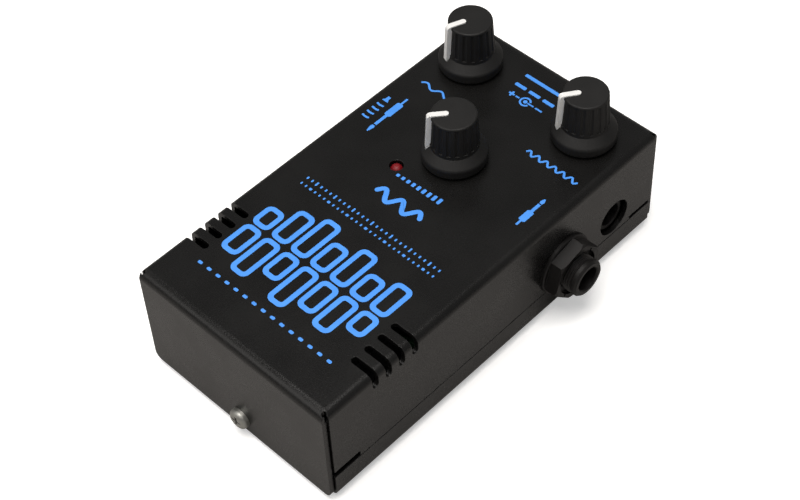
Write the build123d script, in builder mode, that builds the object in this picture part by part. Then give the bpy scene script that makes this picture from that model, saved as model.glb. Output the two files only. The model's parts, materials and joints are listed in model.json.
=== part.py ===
from build123d import *
import os
from math import atan2, cos, degrees, radians, sin

# A small pedal-format guitar amplifier head: a folded steel case with three knobs, an input
# jack, a loudspeaker jack, a DC inlet and the circuit board that they are all soldered to.
#
# Millimetres, +Z up. The origin is on the surface the feet stand on, under the middle of the
# case. +X is the side with the input jack, and +Y is the end with the two tone knobs.

os.makedirs("parts", exist_ok=True)

# ---------------------------------------------------------------- driving dimensions

# Case: a five-sided cover over a shallow tray, both folded from one gauge of sheet.
CASE_WIDTH = 60.0
CASE_DEPTH = 112.0
CASE_HEIGHT = 31.0
SHEET = 1.2
SIDE_BEND = 2.0
END_BEND = 2.4
TRAY_BEND = 1.7
END_FLANGE_INSET = 0.6
CORNER_GAP = 0.3
RELIEF_RADIUS = 0.6
RELIEF_CENTRE = (28.9, 54.75)
FLANGE_CORNER = 2.0
SEAM_HEIGHT = 7.2
SEAM_GAP = 0.3
SEAM_NOTCH_LENGTH = 7.9
SEAM_NOTCH_RISE = {-1: 1.7, 1: 0.9}
TRAY_TAB_WIDTH = 40.0
TRAY_TAB_HEIGHT = 10.0
TRAY_TAB_CLEARANCE = 0.05
FOOT_HEIGHT = 2.0
FOOT_RADIUS = 5.0
FOOT_CENTRES = (22.0, 46.0)
FOOT_CHAMFER = 0.5

# Cooling slots, which wrap over the bend between the top and each side.
VENT_CENTRES = (-40.5, -36.4, -32.3, -28.2)
VENT_WIDTH = 1.9
VENT_INNER_END = 23.1
VENT_LOWER_END = 26.7

# Controls on the top panel, as (x, y) of each axis.
KNOB_CENTRES = {"volume": (-0.5, 17.5), "presence": (17.6, 42.9), "depth": (-18.9, 43.2)}

# Each pointer's direction with its knob fully down, in degrees from +X.
POINTER_ANGLES = {"volume": -131.0, "presence": -126.0, "depth": -112.0}
LED_CENTRE = (-8.9, 6.4)
LED_RADIUS = 1.5

# Knob, with heights above the top panel.
KNOB_LIFT = 0.3
SKIRT_RADIUS = 8.0
SKIRT_TOP = 3.1
GRIP_FOOT = 5.2
GRIP_FOOT_RADIUS = 6.0
GRIP_TOP = 14.7
GRIP_TOP_RADIUS = 5.45
FLUTE_COUNT = 18
FLUTE_RADIUS = 0.7
FLUTE_DEPTH = 0.28
FLUTE_FOOT_MARGIN = 0.9
FLUTE_TOP_MARGIN = 0.6
SKIRT_ROUND = 1.0
GRIP_ROUND = 0.4
NUT_HOLLOW = (6.4, 3.2)
BUSHING_HOLLOW = (4.0, 4.4)
SOCKET_FOOT = 4.0
SOCKET_FIT = 0.02
POINTER_START = 1.2
POINTER_BEND = 1.0
POINTER_WIDTH = 1.4
POINTER_INLAY = 0.6
POINTER_TOP_PROUD = 0.3
POINTER_SIDE_PROUD = 0.9
POINTER_DROP = 0.8

# Potentiometers: board-mounted, with a threaded bushing through the top panel.
SHAFT_RADIUS = 3.0
SHAFT_FLAT = 1.5
SHAFT_TOP = 12.5
BUSHING_RADIUS = 3.5
BUSHING_RISE = 3.8
RUNNING_FIT = 0.05
POT_SIZE = (9.5, 11.0)
POT_BASE_HEIGHT = 3.6
POT_FLOOR = 1.2
POT_WELL_RADIUS = 3.9
POT_CORNER = 0.4
POT_PIN_PITCH = 2.5
POT_PIN_WIDTH = 0.7
POT_PIN_THICKNESS = 0.4
POT_PIN_REACH = 0.9
COLLAR_RADIUS = 3.6
COLLAR_LIFT = 0.2
SHAFT_CHAMFER = 0.4
WIPER_RADIUS = 3.4
WIPER_HOLE = 1.2
WIPER_THICKNESS = 0.4
FINGER_RING = 2.6
FINGER_SIZE = (1.2, 0.6)
FINGER_LIFT = 0.1
FINGER_HEIGHT = 0.7
WASHER_RADIUS = 6.0
WASHER_THICKNESS = 0.5
POT_NUT_APOTHEM = 5.0
POT_NUT_THICKNESS = 2.0
HOLE_CLEARANCE = 0.1
THREAD_FIT = 0.02

# Quarter-inch jacks. On a jack's seat, u is along the panel, v is up and w is outwards from
# the panel's face.
JACK_Y = 21.9
JACK_HEIGHT = 12.85
JACK_BORE = 3.25
JACK_BORE_DEPTH = 6.0
JACK_MOUTH_CHAMFER = 0.35
JACK_REACH = 7.7
THREAD_RADIUS = 4.9
THREAD_PITCH = 0.65
THREAD_DEPTH = 0.35
THREAD_LAND = 0.1
THREAD_END = 6.2
NOSE_START = 7.1
NOSE_RADIUS = 4.45
NUT_ACROSS_FLATS = 14.0
NUT_THICKNESS = 4.4
NUT_TURN = 15.0
NUT_FLANGE_RADIUS = 8.2
NUT_FLANGE_THICKNESS = 0.9
NUT_FLANGE_CHAMFER = 0.25
NUT_BEVEL = 0.6
NUT_RECESS_RADIUS = 6.1
NUT_RECESS_DEPTH = 1.2
NOTCH_RING = 6.2
NOTCH_SIZE = (1.0, 0.7, 1.4)
JACK_BODY_DEPTH = 24.4
JACK_BODY_U = 8.0
JACK_BODY_FOOT = -5.6
JACK_TO_BOARD = 8.0
CHAMBER_U = 5.2
CHAMBER_V = (-4.6, 5.6)

# Contacts of the jacks. The leaf springs' paths are (w, v) points from the root outwards,
# and each lead is the (u, w) where a fixed contact goes through the board.
LEAF = 0.35
LEAF_WIDTH = 3.2
TIP_PATH = [(-8.2, 4.9), (-17.5, 3.9), (-20.2, 2.3), (-22.5, 3.4)]
TIP_BEND = 0.5
TIP_PLATE_U = (-1.4, 1.4)
TIP_PLATE_HEIGHT = 1.5
TIP_STRIP_U = (-0.5, 0.5)
TIP_LEAD = (0, -7.9)
SLEEVE_PATH = [(-16.0, -4.2), (-10.0, -3.6), (-8.0, -2.9), (-6.6, -3.5)]
SLEEVE_BEND = 0.4
SLEEVE_STRIP_U = (5.3, 5.7)
SLEEVE_LEAD = (5.5, -16.6)
SWITCH_EAR_U = (-4.4, -1.5)
SWITCH_EAR_V = 4.42
SWITCH_EAR_W = (-14.0, -12.6)
SWITCH_STRIP_U = (-5.7, -5.3)
SWITCH_REACH = -3.6
SWITCH_V = 3.8
SWITCH_W = (-13.8, -12.8)
SWITCH_LEAD = (-5.5, -13.3)

# DC inlet for a plug 5.5 mm outside and 2.1 mm inside. Its collar stands behind the panel's
# hole, and its own w is outwards from the collar's face.
POWER_Y = 40.5
POWER_HEIGHT = 13.2
POWER_HOLE = 5.0
POWER_RECESS = 1.4
POWER_COLLAR = 4.2
POWER_COLLAR_LENGTH = 0.9
POWER_BORE = 3.2
POWER_DEPTH = 9.5
POWER_BODY_U = 4.5
POWER_BODY_FOOT = -4.6
POWER_BODY_BACK = -14.9
POWER_PIN_RADIUS = 1.05
POWER_PIN_TIP = -1.9
POWER_PIN_ROUND = 0.8
POWER_PIN_ROOT = 0.8
POWER_PIN_ROOT_LENGTH = 2.0
POWER_SPRING_PATH = [(-8.7, -3.6), (-4.5, -3.2), (-3.5, -2.55), (-2.5, -3.0)]
POWER_SPRING_WIDTH = 2.2
POWER_SPRING_THICKNESS = 0.3
POWER_SPRING_BEND = 0.3
POWER_SLOT_U = 1.3
POWER_SLOT_V = (-4.2, 0)
POWER_SLOT_W = (-9.1, -1.9)
POWER_TERMINALS = ((0, -14.1), (0, -8.1), (3.6, -11.1))
POWER_TERMINAL_SIZE = (0.8, 0.4)
POWER_TERMINAL_FOOT = 4.4

# Fasteners.
SCREW_HEAD_RADIUS = 2.7
SCREW_HEAD_HEIGHT = 1.8
SCREW_RADIUS = 1.48
SCREW_HOLE = 1.5
SCREW_LENGTH = 5.0
RECESS_SLOT = 0.35
CASE_SCREW_X = 0.8
CASE_SCREW_HEIGHT = 3.9
CHIP_SCREW_HEAD = (2.75, 1.8)
CHIP_SCREW_LENGTH = 5.5
CHIP_SCREW_DEPTH = 8.0
SINK_SCREW_HEAD = (2.6, 1.3)
SINK_SCREW_LENGTH = 7.0
SINK_SCREW_X = 17.0

# Indicator.
LED_HEIGHT = 5.0
LED_FLANGE = 0.4
LED_FLANGE_HEIGHT = 1.0
LED_LEAD_OFFSET = 1.27
LEAD_HALF = 0.25

# Heat sink, its chip and the pad between them.
SINK_BACK = -25.0
SINK_PLATE = 3.0
SINK_HALF_WIDTH = 22.0
SINK_FRONT = -46.0
SINK_ABOVE_BOARD = 2.6
FIN_PITCH = 5.3
FIN_THICKNESS = 1.5
FINS_EACH_SIDE = 4
SINK_SCREW_DEPTH = 8.0
PAD_THICKNESS = 0.3
PAD_HALF_WIDTH = 7.0
PAD_FOOT = 4.4
PAD_BELOW_BOARD = 1.6
CHIP_HALF_WIDTH = 5.0
CHIP_TAB = 1.3
CHIP_THICKNESS = 4.5
CHIP_LEVELS = (5.4, 11.4, 20.0)
CHIP_SCREW_Z = 8.4
CHIP_HOLE_CLEARANCE = 0.3
CHIP_LEAD_SETBACK = 2.4
CHIP_LEAD_PITCH = 1.7
CHIP_LEAD_HALF_WIDTH = 0.4

# Circuit board and what stands on it.
BOARD_THICKNESS = 1.6
BOARD_X = 27.0
BOARD_FRONT = -24.5
BOARD_BACK = 50.5
BOARD_CORNER = 1.0
LEAD_HOLE = 0.6
LEAD_STUB = 1.0

# Parts stand off the board far enough to clear the lead stubs of those on its other face.
STAND_OFF = 1.2

# Electrolytic cans: x, y, radius, height and lead pitch.
SUPPLY_CAN = (-15.0, -10.5, 6.25, 16.0, 5.0)
OUTPUT_CAN = (15.0, -10.5, 5.0, 16.0, 5.0)
COUPLING_CANS = [(x, 6.0, 2.5, 11.0, 2.5) for x in (-22.0, -16.0, 16.0, 22.0)]
CRIMP = (1.4, 1.9, 2.4)
CRIMP_DEPTH = 0.4

# Parts that lie along X: centres, then radius, length and lead pitch.
RESISTOR_CENTRES = [(x, y) for x in (-18.0, 18.0) for y in (-21.0, -18.0, -15.0, -12.0, -9.0, -6.0)]
RESISTOR_SIZE = (1.2, 6.3, 10.0)
DIODE_CENTRES = [(0.0, -17.0), (0.0, -13.5)]
DIODE_SIZE = (1.35, 4.6, 10.0)
WIRE_RADIUS = 0.3
WIRE_BEND = 0.6

FILM_YS = (-8.0, -1.0, 6.0)
FILM_SIZE = (7.2, 3.5, 7.0)
FILM_PITCH = 5.0
PREAMP_X = 10.0
PREAMP_SIZE = (6.4, 9.4, 3.3)
PREAMP_PIN_YS = (-3.81, -1.27, 1.27, 3.81)
PREAMP_PIN_X = 3.81
PREAMP_PIN_RISE = (1.5, 1.8)
PREAMP_PIN_HALF = 0.3
TRANSISTOR_CENTRES = [(-18.0, 0.5), (20.0, 0.5)]
TRANSISTOR_RADIUS = 2.6
TRANSISTOR_HEIGHT = 4.6
TRANSISTOR_PITCH = 1.8

SHEET_X = 26.0
SHEET_Y = (-22.0, 50.0)
SHEET_THICKNESS = 0.3

# ---------------------------------------------------------------- derived levels

CASE_BOTTOM = FOOT_HEIGHT
CASE_TOP = CASE_BOTTOM + CASE_HEIGHT
SIDE_X = CASE_WIDTH / 2
END_Y = CASE_DEPTH / 2
INNER_X = SIDE_X - SHEET
INNER_Y = END_Y - SHEET
PANEL_END = INNER_Y - CORNER_GAP
PANEL_UNDERSIDE = CASE_TOP - SHEET
TRAY_FLOOR = CASE_BOTTOM + SHEET
JACK_Z = CASE_BOTTOM + JACK_HEIGHT
POWER_Z = CASE_BOTTOM + POWER_HEIGHT
CASE_SCREW_Z = CASE_BOTTOM + CASE_SCREW_HEIGHT
BOARD_BOTTOM = JACK_Z + JACK_TO_BOARD
BOARD_TOP = BOARD_BOTTOM + BOARD_THICKNESS
LEAD_TOP = BOARD_TOP + LEAD_STUB
LEAD_BOTTOM = BOARD_BOTTOM - LEAD_STUB
LED_FOOT = CASE_TOP - LED_HEIGHT
JACK_BODY_V = (JACK_BODY_FOOT, JACK_TO_BOARD)
JACK_BODY_W = (-JACK_BODY_DEPTH, -SHEET)
JACK_TERMINAL_TOP = JACK_TO_BOARD + BOARD_THICKNESS + LEAD_STUB
POWER_TO_BOARD = BOARD_BOTTOM - POWER_Z
POWER_TERMINAL_TOP = POWER_TO_BOARD + BOARD_THICKNESS - 0.2

# Height of the wiper disc below the top panel's outer face.
WIPER_FOOT = BOARD_TOP + POT_FLOOR + FINGER_LIFT + FINGER_HEIGHT - CASE_TOP

# Seats: each is a plane on the panel's outer face, with its z pointing out of the case.
KNOB_SEATS = {
    name: Plane(
        origin=(x, y, CASE_TOP),
        x_dir=(cos(radians(POINTER_ANGLES[name])), sin(radians(POINTER_ANGLES[name])), 0),
        z_dir=(0, 0, 1),
    )
    for name, (x, y) in KNOB_CENTRES.items()
}
INPUT_SEAT = Plane(origin=(SIDE_X, JACK_Y, JACK_Z), x_dir=(0, 1, 0), z_dir=(1, 0, 0))
OUTPUT_SEAT = Plane(origin=(-SIDE_X, JACK_Y, JACK_Z), x_dir=(0, -1, 0), z_dir=(-1, 0, 0))
POWER_SEAT = Plane(origin=(SIDE_X, POWER_Y, POWER_Z), x_dir=(0, 1, 0), z_dir=(1, 0, 0))
INLET_SEAT = POWER_SEAT.offset(-POWER_RECESS)
SCREW_SEATS = [
    Plane(origin=(CASE_SCREW_X, end * END_Y, CASE_SCREW_Z), x_dir=(1, 0, 0), z_dir=(0, end, 0))
    for end in (-1, 1)
]


# ---------------------------------------------------------------- helpers


def span(side, near, far):
    """Low and high ends of a stretch from near to far, on the + or - side."""
    return tuple(sorted((side * near, side * far)))


def block(x, y, z, mode=Mode.ADD):
    """Box filling the (low, high) spans x, y and z."""
    with Locations(((x[0] + x[1]) / 2, (y[0] + y[1]) / 2, (z[0] + z[1]) / 2)):
        Box(x[1] - x[0], y[1] - y[0], z[1] - z[0], mode=mode)


def seat_block(seat, u, v, w, mode=Mode.ADD):
    """Box filling spans along a seat's own x, y and z."""
    with Locations(seat):
        block(u, v, w, mode=mode)


def arched_profile(plane, width, bottom, top, radius):
    """Upright rectangle on a vertical plane, with its two top corners rounded."""
    with BuildSketch(plane) as profile:
        with Locations((0, (bottom + top) / 2)):
            Rectangle(width, top - bottom)
        fillet(profile.vertices().group_by(Axis.Y)[-1], radius)
    return profile.sketch


def strip_profile(plane, path, thickness, bend, side=Side.LEFT):
    """Edge-on outline of a strip that lies on one side of path, with rounded bends."""
    with BuildSketch(plane) as profile:
        with BuildLine():
            FilletPolyline(*path, radius=bend)
            offset(amount=thickness, side=side)
        make_face()
    return profile.sketch


def outline(plane, points):
    """Filled outline through points on a plane."""
    with BuildSketch(plane) as profile:
        with BuildLine():
            Polyline(*points, close=True)
        make_face()
    return profile.sketch


def radial_plane(seat):
    """The plane through a seat's axis whose x is the seat's x and whose y is the seat's z."""
    return Plane(origin=seat.origin, x_dir=seat.x_dir, z_dir=-seat.y_dir)


def edge_plane(seat):
    """The plane through a seat's axis whose x runs outwards and whose y is the seat's y."""
    return Plane(origin=seat.origin, x_dir=seat.z_dir, z_dir=seat.z_dir.cross(seat.y_dir))


def seat_axis(seat):
    """The line through a seat along its z."""
    return Axis(seat.origin, seat.z_dir)


def finish(piece, name):
    """Label a finished piece and write it as its own file."""
    piece.part.label = name
    export_step(piece.part, f"parts/{name}.step")


# ---------------------------------------------------------------- case

with BuildPart() as top_cover:
    extrude(arched_profile(Plane.XZ, CASE_WIDTH, CASE_BOTTOM, CASE_TOP, SIDE_BEND), END_Y, both=True)
    extrude(
        arched_profile(Plane.YZ, CASE_DEPTH, CASE_BOTTOM, CASE_TOP, END_BEND),
        SIDE_X,
        both=True,
        mode=Mode.INTERSECT,
    )
    offset(amount=-SHEET, openings=top_cover.faces().sort_by(Axis.Z)[0])

    seam = CASE_BOTTOM + SEAM_HEIGHT + SEAM_GAP
    for side in (-1, 1):
        wall = span(side, INNER_X, SIDE_X)
        # The side panel stops above the tray's wall, and is relieved again at each end.
        block(wall, (-INNER_Y, INNER_Y), (CASE_BOTTOM, seam), mode=Mode.SUBTRACT)
        for end in (-1, 1):
            notch = span(end, PANEL_END - SEAM_NOTCH_LENGTH, INNER_Y)
            block(wall, notch, (CASE_BOTTOM, seam + SEAM_NOTCH_RISE[end]), mode=Mode.SUBTRACT)
            # The end flange is narrower than the case, with a gap before the side panel.
            beyond = span(side, SIDE_X - END_FLANGE_INSET, SIDE_X)
            block(beyond, span(end, PANEL_END, END_Y), (CASE_BOTTOM, CASE_TOP), mode=Mode.SUBTRACT)
            gap = span(end, PANEL_END, INNER_Y)
            block(wall, gap, (CASE_BOTTOM, CASE_TOP - END_BEND), mode=Mode.SUBTRACT)
            # Where the two bends would meet, a round relief leaves a small hole.
            with Locations((side * RELIEF_CENTRE[0], end * RELIEF_CENTRE[1], CASE_TOP)):
                Hole(RELIEF_RADIUS, depth=END_BEND + RELIEF_RADIUS)
    fillet(top_cover.edges().filter_by(Axis.Y).group_by(Axis.Z)[0], FLANGE_CORNER)

    # Each slot is cut down through the top and in through the side.
    vent_centre = VENT_INNER_END + VENT_WIDTH / 2
    vent_foot = CASE_BOTTOM + VENT_LOWER_END
    vent_length = 2 * (SIDE_X - VENT_INNER_END)
    vent_height = 2 * (CASE_TOP - vent_foot)
    with BuildSketch(Plane.XY.offset(CASE_TOP)):
        with Locations(*[(side * SIDE_X, y) for side in (-1, 1) for y in VENT_CENTRES]):
            SlotOverall(vent_length, VENT_WIDTH)
    extrude(amount=vent_foot + VENT_WIDTH / 2 - CASE_TOP, mode=Mode.SUBTRACT)
    for side in (-1, 1):
        with BuildSketch(Plane(origin=(side * SIDE_X, 0, 0), x_dir=(0, side, 0), z_dir=(side, 0, 0))):
            with Locations(*[(side * y, CASE_TOP) for y in VENT_CENTRES]):
                SlotOverall(vent_height, VENT_WIDTH, rotation=90)
        extrude(amount=vent_centre - SIDE_X, mode=Mode.SUBTRACT)

    with Locations(*[seat.location for seat in KNOB_SEATS.values()]):
        Hole(BUSHING_RADIUS + HOLE_CLEARANCE, depth=2 * SHEET)
    with Locations((*LED_CENTRE, CASE_TOP)):
        Hole(LED_RADIUS + 0.25, depth=2 * SHEET)
    with Locations(INPUT_SEAT, OUTPUT_SEAT):
        Hole(THREAD_RADIUS + HOLE_CLEARANCE, depth=2 * SHEET)
    with Locations(POWER_SEAT):
        Hole(POWER_HOLE, depth=2 * SHEET)
    with Locations(*SCREW_SEATS):
        Hole(SCREW_HOLE + 0.2, depth=2 * SHEET)
finish(top_cover, "top_cover")

sink_screw_y = SINK_BACK - SINK_PLATE / 2
sink_screw_spots = [(side * SINK_SCREW_X, sink_screw_y) for side in (-1, 1)]

with BuildPart() as base_tray:
    side_wall_path = [
        (-SIDE_X, CASE_BOTTOM + SEAM_HEIGHT),
        (-SIDE_X, CASE_BOTTOM),
        (SIDE_X, CASE_BOTTOM),
        (SIDE_X, CASE_BOTTOM + SEAM_HEIGHT),
    ]
    extrude(strip_profile(Plane.XZ, side_wall_path, SHEET, TRAY_BEND), PANEL_END, both=True)
    tab_y = INNER_Y - TRAY_TAB_CLEARANCE
    tab_path = [
        (-tab_y, CASE_BOTTOM + TRAY_TAB_HEIGHT),
        (-tab_y, CASE_BOTTOM),
        (tab_y, CASE_BOTTOM),
        (tab_y, CASE_BOTTOM + TRAY_TAB_HEIGHT),
    ]
    extrude(strip_profile(Plane.YZ, tab_path, SHEET, TRAY_BEND), TRAY_TAB_WIDTH / 2, both=True)
    with Locations(*SCREW_SEATS):
        Hole(SCREW_HOLE, depth=3 * SHEET)
    with Locations(*[(x, y, TRAY_FLOOR) for x, y in sink_screw_spots]):
        Hole(SCREW_HOLE + HOLE_CLEARANCE, depth=SHEET)
finish(base_tray, "base_tray")

with BuildPart() as rubber_feet:
    with BuildSketch():
        with GridLocations(2 * FOOT_CENTRES[0], 2 * FOOT_CENTRES[1], 2, 2):
            Circle(FOOT_RADIUS)
    extrude(amount=FOOT_HEIGHT)
    chamfer(rubber_feet.edges().group_by(Axis.Z)[0], FOOT_CHAMFER)
finish(rubber_feet, "rubber_feet")


def pan_head_screw(seat, head_radius, head_height, shank_length):
    """Cross-recessed pan head screw driven into a seat."""
    with Locations(seat):
        Cylinder(SCREW_RADIUS, shank_length, align=(Align.CENTER, Align.CENTER, Align.MAX))
    with BuildSketch(radial_plane(seat)) as head:
        with Locations((head_radius / 2, head_height / 2)):
            Rectangle(head_radius, head_height)
        fillet(head.vertices().group_by(Axis.X)[-1].sort_by(Axis.Y)[-1], 0.6 * head_height)
    revolve(head.sketch, axis=seat_axis(seat))
    arm = head_radius * 0.55
    for u, v in ((arm, RECESS_SLOT), (RECESS_SLOT, arm)):
        seat_block(seat, (-u, u), (-v, v), (head_height * 0.35, head_height + 1), mode=Mode.SUBTRACT)


with BuildPart() as cover_screws:
    for screw_seat in SCREW_SEATS:
        pan_head_screw(screw_seat, SCREW_HEAD_RADIUS, SCREW_HEAD_HEIGHT, SCREW_LENGTH)
finish(cover_screws, "cover_screws")

# ---------------------------------------------------------------- knobs


def grip_radius(height):
    """Radius of the knob's tapered grip at a height above the panel."""
    rise = (height - GRIP_FOOT) / (GRIP_TOP - GRIP_FOOT)
    return GRIP_FOOT_RADIUS + rise * (GRIP_TOP_RADIUS - GRIP_FOOT_RADIUS)


def make_pointer(seat):
    """White rib inlaid in a knob: across its top, over the edge and down to the skirt."""
    top = GRIP_TOP + POINTER_TOP_PROUD
    foot = GRIP_FOOT - POINTER_DROP
    shape = [
        (POINTER_START, GRIP_TOP - POINTER_INLAY),
        (POINTER_START, top),
        (GRIP_TOP_RADIUS + POINTER_SIDE_PROUD, top),
        (grip_radius(foot) + POINTER_SIDE_PROUD, foot),
        (grip_radius(foot) - POINTER_INLAY, foot),
        (GRIP_TOP_RADIUS - POINTER_INLAY, GRIP_TOP - POINTER_INLAY),
    ]
    with BuildPart() as pointer:
        extrude(outline(radial_plane(seat), shape), POINTER_WIDTH / 2, both=True)
        across = pointer.edges().filter_by(Axis(seat.origin, seat.y_dir))
        outer_corner = across.sort_by(lambda edge: (edge.center() - seat.origin).length)[-1]
        fillet(outer_corner, POINTER_BEND)
        upright = pointer.edges().filter_by(seat_axis(seat))
        inner_end = upright.sort_by(Axis(seat.origin, seat.x_dir))[:2]
        fillet(inner_end, POINTER_WIDTH / 2 - 0.02)
    return pointer


def make_knob(seat, pointer):
    """Fluted knob with a sloping skirt, hollow below to clear the bushing and its nut."""
    with BuildPart() as knob:
        with BuildSketch(radial_plane(seat)) as profile:
            with BuildLine():
                Polyline(
                    (0, GRIP_TOP),
                    (GRIP_TOP_RADIUS, GRIP_TOP),
                    (GRIP_FOOT_RADIUS, GRIP_FOOT),
                    (SKIRT_RADIUS, SKIRT_TOP),
                    (SKIRT_RADIUS, KNOB_LIFT),
                    (NUT_HOLLOW[0], KNOB_LIFT),
                    NUT_HOLLOW,
                    (BUSHING_HOLLOW[0], NUT_HOLLOW[1]),
                    BUSHING_HOLLOW,
                    (0, BUSHING_HOLLOW[1]),
                    close=True,
                )
            make_face()
            rim = profile.vertices().group_by(Axis.X)[-1]
            fillet(rim, SKIRT_ROUND)
            top_edge = profile.vertices().group_by(Axis.Y)[-1].sort_by(Axis.X)[-1]
            fillet(top_edge, GRIP_ROUND)
        revolve(axis=seat_axis(seat))

        # Flutes lean with the grip's taper and stop just short of the top.
        low = GRIP_FOOT + FLUTE_FOOT_MARGIN
        high = GRIP_TOP - FLUTE_TOP_MARGIN
        middle = (low + high) / 2
        lean = degrees(atan2(GRIP_FOOT_RADIUS - GRIP_TOP_RADIUS, GRIP_TOP - GRIP_FOOT))
        flute_ring = grip_radius(middle) + FLUTE_RADIUS - FLUTE_DEPTH
        with Locations(seat.offset(middle)):
            with PolarLocations(flute_ring, FLUTE_COUNT, start_angle=180 / FLUTE_COUNT):
                Cylinder(FLUTE_RADIUS, high - low, rotation=(0, -lean, 0), mode=Mode.SUBTRACT)

        # D-shaped socket for the shaft.
        with BuildSketch(seat.offset(SOCKET_FOOT)):
            Circle(SHAFT_RADIUS + SOCKET_FIT)
            with Locations((-SHAFT_RADIUS - SHAFT_FLAT - SOCKET_FIT, 0)):
                Rectangle(2 * SHAFT_RADIUS, 2 * SHAFT_RADIUS + 1, mode=Mode.SUBTRACT)
        extrude(amount=SHAFT_TOP + 0.1 - SOCKET_FOOT, mode=Mode.SUBTRACT)
        add(pointer.part, mode=Mode.SUBTRACT)
    return knob


# ---------------------------------------------------------------- potentiometers


def pot_spans(seat):
    """Footprint spans of a potentiometer in x and y."""
    x, y = seat.origin.X, seat.origin.Y
    return (x - POT_SIZE[0] / 2, x + POT_SIZE[0] / 2), (y - POT_SIZE[1] / 2, y + POT_SIZE[1] / 2)


def make_pot_base(seat):
    """Plastic housing on the board, with the well that the wiper turns in."""
    x, y = pot_spans(seat)
    with BuildPart() as base:
        block(x, y, (BOARD_TOP, BOARD_TOP + POT_BASE_HEIGHT))
        with Locations((seat.origin.X, seat.origin.Y, BOARD_TOP + POT_BASE_HEIGHT)):
            Hole(POT_WELL_RADIUS, depth=POT_BASE_HEIGHT - POT_FLOOR)
        chamfer(base.edges().filter_by(Axis.Z).group_by(SortBy.LENGTH)[-1], POT_CORNER)
    return base


def make_pot_bushing(seat):
    """Die-cast top plate with the threaded bushing that the shaft turns in."""
    x, y = pot_spans(seat)
    floor = BOARD_TOP + POT_BASE_HEIGHT
    with BuildPart() as bushing:
        block(x, y, (floor, PANEL_UNDERSIDE))
        chamfer(bushing.edges().filter_by(Axis.Z), POT_CORNER)
        with BuildSketch(Plane(origin=(seat.origin.X, seat.origin.Y, PANEL_UNDERSIDE))):
            Circle(BUSHING_RADIUS)
        extrude(amount=CASE_TOP + BUSHING_RISE - PANEL_UNDERSIDE)
        chamfer(bushing.edges().group_by(Axis.Z)[-1], 0.3)
        with Locations((seat.origin.X, seat.origin.Y, CASE_TOP + BUSHING_RISE)):
            Hole(SHAFT_RADIUS + RUNNING_FIT, depth=CASE_TOP + BUSHING_RISE - floor)
    return bushing


def make_shaft(seat):
    """Potentiometer shaft: a collar in the well, a round journal and a D-shaped end."""
    collar_foot = WIPER_FOOT + WIPER_THICKNESS
    collar_top = BOARD_TOP + POT_BASE_HEIGHT - COLLAR_LIFT - CASE_TOP
    with BuildPart() as shaft:
        with BuildSketch(seat.offset(collar_foot)):
            Circle(COLLAR_RADIUS)
        extrude(amount=collar_top - collar_foot)
        with BuildSketch(seat.offset(collar_top)):
            Circle(SHAFT_RADIUS)
        extrude(amount=SHAFT_TOP - collar_top)
        chamfer(shaft.edges().group_by(Axis.Z)[-1], SHAFT_CHAMFER)
        flat = (-SHAFT_RADIUS - 1, -SHAFT_FLAT)
        wide = (-SHAFT_RADIUS - 1, SHAFT_RADIUS + 1)
        seat_block(seat, flat, wide, (BUSHING_RISE + 0.4, SHAFT_TOP + 1), mode=Mode.SUBTRACT)
    return shaft


def make_wiper(seat):
    """Contact disc under the shaft's collar, with three fingers that run on the track."""
    with BuildPart() as wiper:
        with BuildSketch(seat.offset(WIPER_FOOT)):
            Circle(WIPER_RADIUS)
            Circle(WIPER_HOLE, mode=Mode.SUBTRACT)
        extrude(amount=WIPER_THICKNESS)
        with BuildSketch(seat.offset(WIPER_FOOT - FINGER_HEIGHT)):
            with PolarLocations(FINGER_RING, 3):
                SlotOverall(*FINGER_SIZE)
        extrude(amount=FINGER_HEIGHT)
    return wiper


def pot_pin_points(seat):
    """Where a potentiometer's three terminals go through the board."""
    y = seat.origin.Y - POT_SIZE[1] / 2 - POT_PIN_REACH
    return [(seat.origin.X + step * POT_PIN_PITCH, y) for step in (-1, 0, 1)]


lead_points = []

for name, seat in KNOB_SEATS.items():
    pointer = make_pointer(seat)
    finish(pointer, f"{name}_pointer")
    finish(make_knob(seat, pointer), f"{name}_knob")
    finish(make_shaft(seat), f"{name}_shaft")
    finish(make_wiper(seat), f"{name}_wiper")
    finish(make_pot_bushing(seat), f"{name}_pot_bushing")
    finish(make_pot_base(seat), f"{name}_pot_base")
    lead_points += pot_pin_points(seat)

pin_top = BOARD_TOP + POT_BASE_HEIGHT / 2
with BuildPart() as pot_terminals:
    for seat in KNOB_SEATS.values():
        base_front = seat.origin.Y - POT_SIZE[1] / 2
        for x, y in pot_pin_points(seat):
            width = (x - POT_PIN_WIDTH / 2, x + POT_PIN_WIDTH / 2)
            thickness = (y - POT_PIN_THICKNESS / 2, y + POT_PIN_THICKNESS / 2)
            block(width, thickness, (BOARD_BOTTOM + 0.2, pin_top))
            block(width, (y, base_front), (pin_top - POT_PIN_THICKNESS, pin_top))
finish(pot_terminals, "pot_terminals")

with BuildPart() as pot_washers:
    with BuildSketch(Plane.XY.offset(CASE_TOP)):
        with Locations(*KNOB_CENTRES.values()):
            Circle(WASHER_RADIUS)
            Circle(BUSHING_RADIUS + HOLE_CLEARANCE, mode=Mode.SUBTRACT)
    extrude(amount=WASHER_THICKNESS)
finish(pot_washers, "pot_washers")

with BuildPart() as pot_nuts:
    with BuildSketch(Plane.XY.offset(CASE_TOP + WASHER_THICKNESS)):
        with Locations(*KNOB_CENTRES.values()):
            RegularPolygon(POT_NUT_APOTHEM, 6, major_radius=False)
            Circle(BUSHING_RADIUS + THREAD_FIT, mode=Mode.SUBTRACT)
    extrude(amount=POT_NUT_THICKNESS)
finish(pot_nuts, "pot_nuts")

# ---------------------------------------------------------------- quarter-inch jacks


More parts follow.
